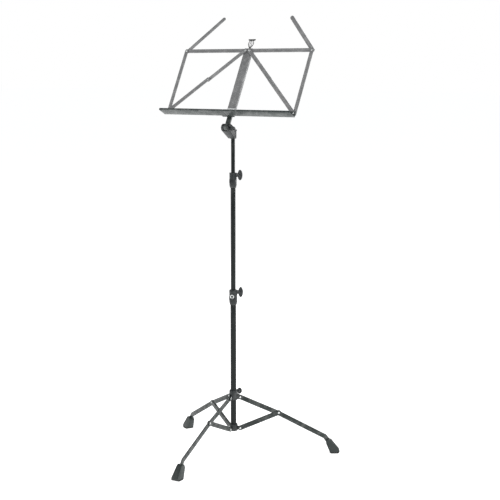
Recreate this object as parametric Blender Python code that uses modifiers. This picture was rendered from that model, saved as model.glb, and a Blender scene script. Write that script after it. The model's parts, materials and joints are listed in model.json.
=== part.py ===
"""Folding music stand: tripod, three-section pole, tilting head and folding desk.

Frame: origin on the floor under the pole, +Z up, the desk faces -Y.  Metres.
"""
import math

import bmesh
import bpy
from mathutils import Matrix, Vector

# ---- fits ----
GAP = 0.0003            # between pieces that touch
SLIDE_GAP = 0.0005      # round a tube that slides in another

# ---- pole ----
TUBE_WALL = 0.001
UPPER_TUBE_R = 0.006
MIDDLE_TUBE_R = UPPER_TUBE_R + SLIDE_GAP + TUBE_WALL
LOWER_TUBE_R = MIDDLE_TUBE_R + SLIDE_GAP + TUBE_WALL
LOWER_TUBE_Z = 0.0735
LOWER_TUBE_LENGTH = 0.432
MIDDLE_TUBE_LENGTH = 0.440
UPPER_TUBE_LENGTH = 0.430
MIDDLE_OVERLAP = 0.080  # of the middle tube in the lower one, as stored
UPPER_DRAWN = 0.1375    # of the upper tube out of the middle one, as stored

# ---- tube clamps ----
CLAMP_WALL = 0.0032
CLAMP_HEIGHT = 0.046
CLAMP_COVER = 0.0355    # of the lower tube's end inside its clamp
CLAMP_TAPER = 0.004
BOSS_R = 0.0062
BOSS_REACH = 0.0018
SCREW_R = 0.0025
SCREW_AZIMUTH = 35.0
SCREW_OVER = 0.0030      # of a clamp screw over the end of the outer tube
SCREW_NECK_R = 0.0050
SCREW_NECK = 0.0006
WING_LENGTH = 0.032
WING_DEPTH = 0.0150
WING_THICK = 0.0055

# ---- tripod ----
LEG_NAMES = ("front", "right", "left")
LEG_AZIMUTH = -86.0
PIVOT_OUT = 0.0120       # of the leg pivots outside the lower tube
PIVOT_R = LOWER_TUBE_R + PIVOT_OUT
LINK_LENGTH = 0.1300
LINK_ANGLE = 22.4       # of leg link and brace to the floor when open
HUB_PIVOT_Z = 0.0785
LEG_HEIGHT = 0.0145
LEG_THICK = 0.003
LEG_DROP = 0.0020       # of the leg's centre line under its knee rivet
LEG_BEND_R = 0.285
LEG_BEND_Z = 0.0520
LEG_END_R = 0.3125
LEG_END_Z = 0.0150
FOOT_WIDTH = 0.0250
FOOT_MOUTH = 0.0165      # of the boot's width at its mouth
FOOT_SHARE = 0.50        # of the leg's lower bend inside the boot
FOOT_WALL = 0.0032
FOOT_TOE_R = 0.0075
FOOT_HEEL_R = 0.0060
FOOT_REACH = 0.0110     # of the toe past the leg's end
FOOT_HEEL = 0.0065      # of the heel inside the leg's end
BRACE_HEIGHT = 0.0140
BRACE_WALL = 0.0015
BRACE_EAR = 0.030       # of the brace's outer end without its web
BRACE_HEEL = 0.012      # of the same at the hub
HUB_WALL = 0.0036
HUB_HEIGHT = 0.0220
HUB_FLOOR = 0.0025
COLLAR_HEIGHT = 0.0310
COLLAR_DROP = 0.0080    # of the collar's lower end under its pivots
COLLAR_SCREW_AZIMUTH = 62.0
COLLAR_SCREW_RISE = 0.0175
COLLAR_WING_LENGTH = 0.020
LUG_R = 0.0052
LUG_THICK = 0.0024
RIVET_R = 0.0020
RIVET_HEAD_R = 0.0034
RIVET_HEAD = 0.0010

# ---- head ----
TILT_Y = -0.032
TILT_RISE = 0.0335      # of the tilt bolt over the socket's bottom
HEAD_WALL = 0.0024
SOCKET_HEIGHT = 0.0275
SOCKET_COVER = 0.024    # of the upper tube's end inside the head
FLANGE_R = 0.0118        # of the ledge round the socket's top
FLANGE_HEIGHT = 0.0042
CHEEK_THICK = 0.0048
CHEEK_ROOT_R = 0.0042    # of the cheeks' corners against the socket
CHEEK_R = 0.0120
STEM_WIDTH = 0.0160
STEM_THICK = 0.0050
STEM_REACH = 0.0300     # of the stem up inside the column
TILT_BOLT_R = 0.0030
STEM_EYE_R = 0.0092

# ---- desk, in its own leaning plane: x across, y back, z up the plane ----
DESK_LEAN = 27.0
DESK_RISE = 0.0450      # of the tray's pivots over the tilt bolt
DESK_SET = 0.0044       # of the tilt bolt behind the column's face
PIVOT_HALF = 0.0072     # of the spacing of the left and right pivots
BAR_REACH = 0.2238      # from a tray pivot to its arm's rivet
DESK_HEIGHT = 0.2097    # from the tray's pivots up to the top bars'
BAR_WIDTH = 0.0124
BAR_THICK = 0.0018
LAYER_GAP = 0.0004
COLUMN_WIDTH = 0.0284
COLUMN_DEPTH = 0.0070
COLUMN_WALL = 0.0016
COLUMN_FOOT = 0.0080    # of the column under the tray's pivots
COLUMN_TOP = 0.0085     # of the column over the top bars' pivots
TRAY_OVERHANG = 0.0075
TRAY_DEPTH = 0.0310
TRAY_LIP = 0.0055
TRAY_THICK = 0.0014
TRAY_DROP = 0.0116      # of the shelf under the tray's pivots
EAR_LENGTH = 0.1530
EAR_ANGLE = 46.7
BRACKET_WIDTH = 0.0440
BRACKET_HEIGHT = 0.0200
BRACKET_SHARE = 0.6      # of its height under the tray's pivots
BRACKET_EDGE = 0.001
EAR_GAP = 0.0002        # between an ear and the top bar in front of it
PLATE_DROP = 0.010       # of the clip plate's lower edge under the top bars' pivots
PLATE_PROUD = 0.002      # of the same plate over the column's top
PLATE_EDGE = 0.0006
CLIP_WIDTH = 0.0275
CLIP_BAR = 0.0045
CLIP_WAIST = 0.0085     # of half the spring's width at its widest
CLIP_RISE = 0.0265      # from the clip's pivot to the middle of its bar
WIRE_R = 0.0011
CLIP_TAPER = 0.82        # of the clip bar's lower edge to its upper one
STRAND_START = 0.12      # of a half wave, where the spring's side strands leave the eye
STRAND_RUN = 0.70        # of a half wave that they follow up to the bar

ROUND = 32
FINE = 16

# Softened edges
CHAMFER = 0.001
WING_EDGE = 0.0015
FOOT_EDGE = 0.005
HEAD_EDGE = 0.0012
EDGE_ANGLE = math.radians(50)

BLACK_COAT = ("black_powder_coat", (0.020, 0.023, 0.023), 0.42, 0.35)
GREY_COAT = ("desk_powder_coat", (0.045, 0.047, 0.048), 0.40, 0.45)
BLACK_PLASTIC = ("black_plastic", (0.016, 0.018, 0.018), 0.48, 0.0)
ZINC = ("zinc_plate", (0.62, 0.63, 0.62), 0.30, 1.0)


# ---------------------------------------------------------------- helpers
def start_scene():
    """Remove what the scene holds and make the two collections."""
    for ob in list(bpy.data.objects):
        bpy.data.objects.remove(ob, do_unlink=True)
    parts = bpy.data.collections.new("music_stand")
    cutters = bpy.data.collections.new("cutters")
    for collection in (parts, cutters):
        bpy.context.scene.collection.children.link(collection)
    return parts, cutters


PARTS, CUTTERS = start_scene()


def make_material(part_name, look):
    """Give each piece its own Principled material."""
    kind, colour, roughness, metallic = look
    mat = bpy.data.materials.new(part_name + "_" + kind)
    mat.use_nodes = True
    shader = mat.node_tree.nodes["Principled BSDF"]
    shader.inputs["Base Color"].default_value = (*colour, 1.0)
    shader.inputs["Roughness"].default_value = roughness
    shader.inputs["Metallic"].default_value = metallic
    return mat


def new_object(name, mesh, frame, origin, look):
    """Put a mesh drawn in the frame's axes in the scene, with its origin at the given point."""
    origin = Vector(origin)
    mesh.transform(Matrix.Translation(-origin))
    ob = bpy.data.objects.new(name, mesh)
    ob.matrix_world = frame @ Matrix.Translation(origin)
    if look is None:
        CUTTERS.objects.link(ob)
        ob.hide_render = True
        ob.display_type = "WIRE"
    else:
        PARTS.objects.link(ob)
        mesh.materials.append(make_material(name, look))
    return ob


def smooth(mesh):
    """Shade round faces smooth and keep the corners sharp."""
    mesh.shade_smooth()
    mesh.set_sharp_from_angle(angle=math.radians(40))


def boolean(ob, other, operation):
    """Cut a tool object from a piece, or join it on."""
    mod = ob.modifiers.new(operation.lower(), "BOOLEAN")
    mod.operation = operation
    mod.object = other
    mod.solver = "EXACT"
    return ob


def arc(centre, radius, start, end, count):
    """Points along a circle between two angles in degrees."""
    points = []
    for i in range(count + 1):
        angle = math.radians(start + (end - start) * i / count)
        points.append((centre[0] + radius * math.cos(angle), centre[1] + radius * math.sin(angle)))
    return points


def circle(centre, radius, count=FINE):
    return arc(centre, radius, 0, 360, count)[:-1]


def hull(points):
    """Convex outline round a set of points, anticlockwise."""
    points = sorted(set(points))
    chains = []
    for run in (points, points[::-1]):
        chain = []
        for p in run:
            while len(chain) > 1 and cross(chain[-2], chain[-1], p) <= 1e-12:
                chain.pop()
            chain.append(p)
        chains.append(chain[:-1])
    return chains[0] + chains[1]


def cross(a, b, c):
    return (b[0] - a[0]) * (c[1] - a[1]) - (b[1] - a[1]) * (c[0] - a[0])


def strap_outline(start, end, radius, count=20):
    """A flat bar with a round end at each of two points."""
    return hull(circle(start, radius, count) + circle(end, radius, count))


def plate_mesh(outline, holes, thickness):
    """A flat 2D curve outline with holes, as a welded mesh in its XY plane."""
    curve = bpy.data.curves.new("outline", "CURVE")
    curve.dimensions = "2D"
    curve.fill_mode = "BOTH"
    curve.extrude = thickness / 2
    for loop in [outline] + list(holes):
        spline = curve.splines.new("POLY")
        spline.points.add(len(loop) - 1)
        for point, (u, v) in zip(spline.points, loop):
            point.co = (u, v, 0, 1)
        spline.use_cyclic_u = True
    return mesh_of_curve(curve)


def mesh_of_curve(curve):
    """Turn a curve into a mesh with its caps welded, and remove the curve."""
    ob = bpy.data.objects.new("curve", curve)
    bpy.context.scene.collection.objects.link(ob)
    bpy.context.view_layer.update()
    evaluated = ob.evaluated_get(bpy.context.evaluated_depsgraph_get())
    mesh = bpy.data.meshes.new_from_object(evaluated)
    bpy.data.objects.remove(ob, do_unlink=True)
    mesh.materials.clear()
    bm = bmesh.new()
    bm.from_mesh(mesh)
    bmesh.ops.remove_doubles(bm, verts=bm.verts, dist=1e-6)
    bmesh.ops.recalc_face_normals(bm, faces=bm.faces)
    bm.to_mesh(mesh)
    bm.free()
    return mesh


def upright_plate(name, outline, holes, low_y, high_y, frame, origin, look):
    """A plate whose outline lies in the frame's XZ plane, between two values of y."""
    mesh = plate_mesh(outline, holes, high_y - low_y)
    turn = Matrix.Rotation(math.radians(90), 4, "X")
    mesh.transform(Matrix.Translation((0, (low_y + high_y) / 2, 0)) @ turn)
    smooth(mesh)
    return new_object(name, mesh, frame, origin, look)


def side_plate(name, outline, holes, low_x, high_x, frame, origin, look):
    """A plate whose outline lies in the frame's YZ plane, between two values of x."""
    mesh = plate_mesh(outline, holes, high_x - low_x)
    turn = Matrix(((0, 0, 1, 0), (1, 0, 0, 0), (0, 1, 0, 0), (0, 0, 0, 1)))
    mesh.transform(Matrix.Translation(((low_x + high_x) / 2, 0, 0)) @ turn)
    smooth(mesh)
    return new_object(name, mesh, frame, origin, look)


def block(name, low, high, frame, origin, look, bevel=0.0):
    """A box between two corners, its edges rounded if asked."""
    low, high = Vector(low), Vector(high)
    bm = bmesh.new()
    bmesh.ops.create_cube(bm, size=1.0)
    bmesh.ops.scale(bm, vec=high - low, verts=bm.verts)
    bmesh.ops.translate(bm, vec=(low + high) / 2, verts=bm.verts)
    mesh = bpy.data.meshes.new(name)
    bm.to_mesh(mesh)
    bm.free()
    ob = new_object(name, mesh, frame, origin, look)
    if bevel:
        mod = ob.modifiers.new("edges", "BEVEL")
        mod.width = bevel
        mod.segments = 2
    return ob


def rod(name, start, end, radius, frame, origin, look, count=FINE):
    """A round bar between two points."""
    start, end = Vector(start), Vector(end)
    bm = bmesh.new()
    bmesh.ops.create_cone(bm, cap_ends=True, segments=count, radius1=radius, radius2=radius,
                          depth=(end - start).length)
    turn = Vector((0, 0, 1)).rotation_difference(end - start).to_matrix().to_4x4()
    bm.transform(Matrix.Translation((start + end) / 2) @ turn)
    mesh = bpy.data.meshes.new(name)
    bm.to_mesh(mesh)
    bm.free()
    smooth(mesh)
    return new_object(name, mesh, frame, origin, look)


def turned(name, profile, closed, frame, origin, look, count=ROUND):
    """A turned piece: a profile of radius and height, down its outer side, swept round Z."""
    bm = bmesh.new()
    verts = [bm.verts.new((r, 0, z)) for r, z in profile]
    for a, b in zip(verts, verts[1:]):
        bm.edges.new((a, b))
    if closed:
        bm.edges.new((verts[-1], verts[0]))
    mesh = bpy.data.meshes.new(name)
    bm.to_mesh(mesh)
    bm.free()
    ob = new_object(name, mesh, frame, (0, 0, 0), look)
    ob.matrix_world = frame @ Matrix.Translation(origin)
    mod = ob.modifiers.new("turn", "SCREW")
    mod.steps = count
    mod.render_steps = count
    mod.use_merge_vertices = True
    mod.merge_threshold = 1e-5
    mod.use_smooth_shade = True
    return ob


def tube(name, outer, inner, low, high, frame, look):
    """A straight tube round Z."""
    length = high - low
    profile = [(outer, length), (outer, 0), (inner, 0), (inner, length)]
    return turned(name, profile, True, frame, (0, 0, low), look)


def azimuth_frame(degrees, height=0.0):
    """Axes turned about the pole: x outward, y to the left of it, z up."""
    return Matrix.Translation((0, 0, height)) @ Matrix.Rotation(math.radians(degrees), 4, "Z")


POLE = Matrix.Identity(4)

# ---- places that follow from the sizes ----
LOWER_TOP = LOWER_TUBE_Z + LOWER_TUBE_LENGTH
MIDDLE_Z = LOWER_TOP - MIDDLE_OVERLAP
MIDDLE_TOP = MIDDLE_Z + MIDDLE_TUBE_LENGTH
UPPER_TOP = MIDDLE_TOP + UPPER_DRAWN
SOCKET_Z = UPPER_TOP - SOCKET_COVER
TILT = Vector((0, TILT_Y, SOCKET_Z + TILT_RISE))
LEAN = Matrix.Rotation(math.radians(-DESK_LEAN), 4, "X")
DESK = Matrix.Translation(TILT) @ LEAN @ Matrix.Translation((0, -DESK_SET, DESK_RISE))

LINK_RUN = LINK_LENGTH * math.cos(math.radians(LINK_ANGLE))
LINK_RISE = LINK_LENGTH * math.sin(math.radians(LINK_ANGLE))
KNEE = (PIVOT_R + LINK_RUN, HUB_PIVOT_Z + LINK_RISE)
COLLAR_PIVOT = (PIVOT_R, HUB_PIVOT_Z + 2 * LINK_RISE)
COLLAR_PIVOT_Z = COLLAR_PIVOT[1]

# the desk's layers, from the column's face to the front, as (front, back) values of y
EAR_LAYER = (EAR_GAP, EAR_GAP + BAR_THICK)
TOP_LAYER = (-LAYER_GAP - BAR_THICK, -LAYER_GAP)
UPPER_LAYER = (TOP_LAYER[0] - LAYER_GAP - BAR_THICK, TOP_LAYER[0] - LAYER_GAP)
HEAD_ROOM = RIVET_HEAD + 2 * LAYER_GAP
LOWER_LAYER = (UPPER_LAYER[0] - HEAD_ROOM - BAR_THICK, UPPER_LAYER[0] - HEAD_ROOM)
TRAY_LAYER = (LOWER_LAYER[0] - LAYER_GAP - BAR_THICK, LOWER_LAYER[0] - LAYER_GAP)
DESK_HALF = PIVOT_HALF + BAR_REACH
STAY_SPAN = math.hypot(BAR_REACH, DESK_HEIGHT)
UPPER_STAY = (STAY_SPAN - (BAR_REACH - DESK_HEIGHT)) / 2   # the lower stay is longer by the difference
ELBOW_SHARE = UPPER_STAY / STAY_SPAN
RIVET_HOLE = RIVET_R + GAP


def rivet(name, back, front, back_head, front_head, frame, origin, look=ZINC):
    """A rivet along the frame's y axis; a head of no height leaves that end flush."""
    ends = []
    for place, head in ((-front, front_head), (back, back_head)):
        if head:
            ends.append([(0, place + head), (RIVET_HEAD_R * 0.72, place + head * 0.8), (RIVET_HEAD_R, place),
                         (RIVET_R, place)])
        else:
            ends.append([(0, place), (RIVET_R, place)])
    profile = ends[0] + [(r, -z) for r, z in reversed(ends[1])]
    across = frame @ Matrix.Translation(origin) @ Matrix.Rotation(math.radians(90), 4, "X")
    return turned(name, profile, False, across, (0, 0, 0), look, 12)


def ribbon_outline(points, half):
    """Outline of a flat strip along a bent line: round start, mitred bends, square end."""
    line = [Vector(p) for p in points]
    along = [(b - a).normalized() for a, b in zip(line, line[1:])]
    left = []
    right = []
    for i in range(1, len(line)):
        here = along[i - 1]
        after = along[min(i, len(along) - 1)]
        side = Vector((-here.y - after.y, here.x + after.x)).normalized()
        reach = half / side.dot(Vector((-here.y, here.x)))
        left.append(line[i] + side * reach)
        right.append(line[i] - side * reach)
    start = math.degrees(math.atan2(along[0].y, along[0].x))
    cap = arc(line[0], half, start + 90, start + 270, 10)
    return cap + [tuple(p) for p in right] + [tuple(p) for p in reversed(left)]


def wing_screw(name, start, shoulder, length, frame, look=BLACK_PLASTIC, radius=SCREW_R):
    """A wing screw along the frame's x axis, its wing upright past the shoulder."""
    neck_end = shoulder + SCREW_NECK
    centre = neck_end + WING_DEPTH / 2
    outline = [(centre + x * WING_DEPTH / 2, z * length / 2) for x, z in circle((0, 0), 1.0, 24)]
    screw = upright_plate(name, outline, [], -WING_THICK / 2, WING_THICK / 2, frame, (0, 0, 0), look)
    edges = screw.modifiers.new("edges", "BEVEL")
    edges.width = WING_EDGE
    edges.segments = 2
    edges.angle_limit = EDGE_ANGLE
    neck = rod(name + "_neck", (shoulder, 0, 0), (centre, 0, 0), SCREW_NECK_R, frame, (0, 0, 0), None)
    shank = rod(name + "_shank", (start, 0, 0), (centre + GAP, 0, 0), radius, frame, (0, 0, 0), None)
    boolean(screw, neck, "UNION")
    boolean(screw, shank, "UNION")
    return screw


# ---------------------------------------------------------------- pole
def build_clamp(name, tube_top, outer_r, inner_r):
    """The plastic sleeve on a tube's end, with the boss of its screw."""
    low = tube_top - CLAMP_COVER
    bore = outer_r + GAP
    mouth = inner_r + GAP
    skin = bore + CLAMP_WALL
    step = CLAMP_COVER + GAP
    profile = [(skin - CHAMFER, CLAMP_HEIGHT), (skin, CLAMP_HEIGHT - CHAMFER), (skin, CLAMP_TAPER * 2),
               (skin - CLAMP_WALL * 0.6, 0), (bore, 0), (bore, step), (mouth, step), (mouth, CLAMP_HEIGHT)]
    clamp = turned(name, profile, True, POLE, (0, 0, low), BLACK_PLASTIC)
    axis = azimuth_frame(SCREW_AZIMUTH, tube_top + SCREW_OVER)
    face = skin + BOSS_REACH
    boss = rod(name + "_boss", (mouth + CLAMP_WALL / 2, 0, 0), (face, 0, 0), BOSS_R, axis, (0, 0, 0), None)
    hole = rod(name + "_hole", (0, 0, 0), (face * 2, 0, 0), SCREW_R + GAP, axis, (0, 0, 0), None)
    boolean(clamp, boss, "UNION")
    boolean(clamp, hole, "DIFFERENCE")
    wing_screw(name + "_screw", inner_r + GAP, face + GAP, WING_LENGTH, axis)


def build_pole():
    tube("lower_tube", LOWER_TUBE_R, LOWER_TUBE_R - TUBE_WALL, LOWER_TUBE_Z, LOWER_TOP, POLE, BLACK_COAT)
    tube("middle_tube", MIDDLE_TUBE_R, MIDDLE_TUBE_R - TUBE_WALL, MIDDLE_Z, MIDDLE_TOP, POLE, BLACK_COAT)
    tube("upper_tube", UPPER_TUBE_R, UPPER_TUBE_R - TUBE_WALL, UPPER_TOP - UPPER_TUBE_LENGTH, UPPER_TOP,
         POLE, BLACK_COAT)
    build_clamp("lower_clamp", LOWER_TOP, LOWER_TUBE_R, MIDDLE_TUBE_R)
    build_clamp("upper_clamp", MIDDLE_TOP, MIDDLE_TUBE_R, UPPER_TUBE_R)


# ---------------------------------------------------------------- tripod
def build_hub():
    """The hub closed over the pole's lower end, with a lug for each brace."""
    bore = LOWER_TUBE_R + GAP
    skin = bore + HUB_WALL
    low = LOWER_TUBE_Z - GAP - HUB_FLOOR
    profile = [(0, HUB_FLOOR), (bore, HUB_FLOOR), (bore, HUB_HEIGHT), (skin - CHAMFER, HUB_HEIGHT),
               (skin, HUB_HEIGHT - CHAMFER), (skin, CHAMFER), (skin - CHAMFER, 0), (0, 0)]
    hub = turned("base_hub", profile, False, POLE, (0, 0, low), BLACK_COAT)
    for i, name in enumerate(LEG_NAMES):
        frame = azimuth_frame(LEG_AZIMUTH + 120 * i)
        root = bore + HUB_WALL / 2
        outline = hull(circle((PIVOT_R, HUB_PIVOT_Z), LUG_R)
                       + [(root, HUB_PIVOT_Z - LUG_R), (root, HUB_PIVOT_Z + LUG_R * 1.5)])
        lug = upright_plate("hub_lug_" + name, outline, [circle((PIVOT_R, HUB_PIVOT_Z), RIVET_HOLE, 12)],
                            -LEG_THICK / 2, LEG_THICK / 2, frame, (0, 0, 0), None)
        boolean(hub, lug, "UNION")


def build_collar():
    """The collar that slides on the pole, with a fork for each leg and its own wing screw."""
    bore = LOWER_TUBE_R + SLIDE_GAP
    skin = bore + HUB_WALL
    low = COLLAR_PIVOT_Z - COLLAR_DROP
    profile = [(skin - 0.002, COLLAR_HEIGHT), (skin, COLLAR_HEIGHT - 0.003), (skin, 0.001),
               (skin - 0.001, 0), (bore, 0), (bore, COLLAR_HEIGHT)]
    collar = turned("leg_collar", profile, True, POLE, (0, 0, low), BLACK_PLASTIC)
    inner = LEG_THICK / 2 + GAP
    for i, name in enumerate(LEG_NAMES):
        frame = azimuth_frame(LEG_AZIMUTH + 120 * i)
        root = bore + HUB_WALL / 3
        outline = hull(circle(COLLAR_PIVOT, LUG_R)
                       + [(root, low + 0.0015), (root, COLLAR_PIVOT_Z + LUG_R * 2.4)])
        for side, start in (("a", -inner - LUG_THICK), ("b", inner)):
            lug = upright_plate("collar_lug_" + name + side, outline, [circle(COLLAR_PIVOT, RIVET_HOLE, 12)],
                                start, start + LUG_THICK, frame, (0, 0, 0), None)
            boolean(collar, lug, "UNION")
    axis = azimuth_frame(COLLAR_SCREW_AZIMUTH, COLLAR_PIVOT_Z + COLLAR_SCREW_RISE)
    hole = rod("collar_hole", (0, 0, 0), (skin * 2, 0, 0), SCREW_R + GAP, axis, (0, 0, 0), None)
    boolean(collar, hole, "DIFFERENCE")
    wing_screw("collar_screw", LOWER_TUBE_R + GAP, skin + GAP, COLLAR_WING_LENGTH, axis)


def build_leg(name, azimuth):
    """A leg, its brace, its boot and the three rivets they turn on."""
    frame = azimuth_frame(azimuth)
    start = Vector(COLLAR_PIVOT)
    knee = Vector((KNEE[0], KNEE[1] - LEG_DROP))
    bend = Vector((LEG_BEND_R, LEG_BEND_Z))
    end = Vector((LEG_END_R, LEG_END_Z))
    outline = ribbon_outline((start, knee, bend, end), LEG_HEIGHT / 2)
    holes = [circle(COLLAR_PIVOT, RIVET_HOLE), circle(KNEE, RIVET_HOLE)]
    upright_plate("leg_" + name, outline, holes, -LEG_THICK / 2, LEG_THICK / 2, frame,
                  (KNEE[0], 0, KNEE[1]), BLACK_COAT)
    build_boot(name, frame, bend, end)

    link = frame @ Matrix.Translation((PIVOT_R, 0, HUB_PIVOT_Z)) @ Matrix.Rotation(
        math.radians(-LINK_ANGLE), 4, "Y")
    slot = LEG_THICK / 2 + GAP
    half = slot + BRACE_WALL
    reach = LINK_LENGTH + BRACE_HEIGHT
    holes = [circle((0, 0), RIVET_HOLE, 12), circle((LINK_LENGTH, 0), RIVET_HOLE, 12)]
    brace = upright_plate("brace_" + name, strap_outline((0, 0), (LINK_LENGTH, 0), BRACE_HEIGHT / 2), holes,
                          -half, half, link, (0, 0, 0), BLACK_COAT)
    under = BRACE_HEIGHT / 2 - BRACE_WALL
    cuts = (((-BRACE_HEIGHT, -slot, -BRACE_HEIGHT), (reach, slot, under)),
            ((-BRACE_HEIGHT, -slot, 0), (BRACE_HEEL, slot, BRACE_HEIGHT)),
            ((LINK_LENGTH - BRACE_EAR, -slot, 0), (reach, slot, BRACE_HEIGHT)))
    for i, (low, high) in enumerate(cuts):
        boolean(brace, block("brace_cut_%s_%d" % (name, i), low, high, link, (0, 0, 0), None), "DIFFERENCE")

    fork = LEG_THICK / 2 + GAP + LUG_THICK + GAP
    ears = half + GAP
    for kind, place, stack in (("collar_rivet_", COLLAR_PIVOT, fork), ("knee_rivet_", KNEE, ears),
                               ("hub_rivet_", (PIVOT_R, HUB_PIVOT_Z), ears)):
        rivet(kind + name, stack, -stack, RIVET_HEAD, RIVET_HEAD, frame, (place[0], 0, place[1]))


def narrow_boot(boot, top):
    """Draw the boot in from its sole's width to its mouth's."""
    low = min(vert.co.z for vert in boot.data.vertices)
    for vert in boot.data.vertices:
        height = (vert.co.z - low) / top
        vert.co.y *= 1 + (FOOT_MOUTH / FOOT_WIDTH - 1) * height


def build_boot(name, frame, bend, end):
    """The plastic boot pressed over a leg's lower end, flat under its sole."""
    along = (end - bend).normalized()
    top_r = LEG_HEIGHT / 2 + FOOT_WALL
    mouth = end.lerp(bend, FOOT_SHARE)
    outline = hull(circle(tuple(mouth), top_r)
                   + circle((end.x + FOOT_REACH, FOOT_TOE_R), FOOT_TOE_R)
                   + circle((end.x - FOOT_HEEL, FOOT_HEEL_R), FOOT_HEEL_R))
    boot = upright_plate("foot_" + name, outline, [], -FOOT_WIDTH / 2, FOOT_WIDTH / 2, frame,
                         (KNEE[0], 0, KNEE[1]), BLACK_PLASTIC)
    narrow_boot(boot, mouth.y + top_r)
    edges = boot.modifiers.new("edges", "BEVEL")
    edges.width = FOOT_EDGE
    edges.segments = 2
    edges.angle_limit = EDGE_ANGLE
    slot = ribbon_outline((bend - along * LEG_HEIGHT, end + along * GAP), LEG_HEIGHT / 2 + GAP)
    cutter = upright_plate("foot_slot_" + name, slot, [], -LEG_THICK / 2 - GAP, LEG_THICK / 2 + GAP, frame,
                           (0, 0, 0), None)
    boolean(boot, cutter, "DIFFERENCE")


# ---------------------------------------------------------------- head
def build_head():
    """The socket on the upper tube and the fork that the desk's stem tilts in."""
    bore = UPPER_TUBE_R + GAP
    skin = bore + HEAD_WALL
    inner = STEM_WIDTH / 2 + GAP
    outer = inner + CHEEK_THICK
    tilt = (TILT.y, TILT.z)
    foot = (-CHEEK_ROOT_R, SOCKET_Z + CHEEK_ROOT_R)
    crown = (-CHEEK_ROOT_R, SOCKET_Z + SOCKET_HEIGHT - CHEEK_ROOT_R)
    outline = hull(circle(tilt, CHEEK_R, 24) + circle(foot, CHEEK_ROOT_R) + circle(crown, CHEEK_ROOT_R))
    head = side_plate("desk_head", outline, [], -outer, outer, POLE, (0, 0, 0), BLACK_PLASTIC)
    edges = head.modifiers.new("edges", "BEVEL")
    edges.width = HEAD_EDGE
    edges.segments = 2
    edges.angle_limit = EDGE_ANGLE
    room = STEM_EYE_R + GAP * 2
    far = CHEEK_R * 4
    mouth = hull(circle(tilt, room, 24) + [(TILT.y - far, TILT.z + far), (TILT.y - far, TILT.z - CHEEK_R),
                 (TILT.y + far, TILT.z + far), (TILT.y + far, TILT.z + GAP)])
    slot = side_plate("head_slot", mouth, [], -inner, inner, POLE, (0, 0, 0), None)
    ledge = SOCKET_HEIGHT - FLANGE_HEIGHT
    profile = [(0, SOCKET_HEIGHT), (FLANGE_R, SOCKET_HEIGHT), (FLANGE_R, ledge),
               (skin, ledge - FLANGE_R + skin), (skin, 0), (0, 0)]
    socket = turned("head_socket", profile, False, POLE, (0, 0, SOCKET_Z - GAP), None)
    deep = SOCKET_COVER + GAP
    hole = rod("head_bore", (0, 0, SOCKET_Z - deep), (0, 0, SOCKET_Z + deep), bore, POLE, (0, 0, 0),
               None, ROUND)
    bolt = rod("head_bolt_hole", (-outer * 2, *tilt), (outer * 2, *tilt), TILT_BOLT_R + GAP, POLE,
               (0, 0, 0), None)
    boolean(head, socket, "UNION")
    for cutter in (slot, hole, bolt):
        boolean(head, cutter, "DIFFERENCE")

    axis = Matrix.Translation(TILT) @ Matrix.Rotation(math.radians(60), 4, "X")
    knob = wing_screw("tilt_knob", -outer - GAP - TILT_BOLT_R, outer + GAP, WING_LENGTH * 0.8, axis,
                      radius=TILT_BOLT_R)
    knob.location = TILT
    cap_low = -outer - GAP - TILT_BOLT_R * 1.6
    cap = rod("tilt_nut", (cap_low, 0, 0), (-outer - GAP, 0, 0), TILT_BOLT_R * 2, axis, (0, 0, 0), ZINC, 6)
    hollow = rod("tilt_nut_hole", (cap_low * 2, 0, 0), (0, 0, 0), TILT_BOLT_R + GAP, axis, (0, 0, 0), None)
    boolean(cap, hollow, "DIFFERENCE")


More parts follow.
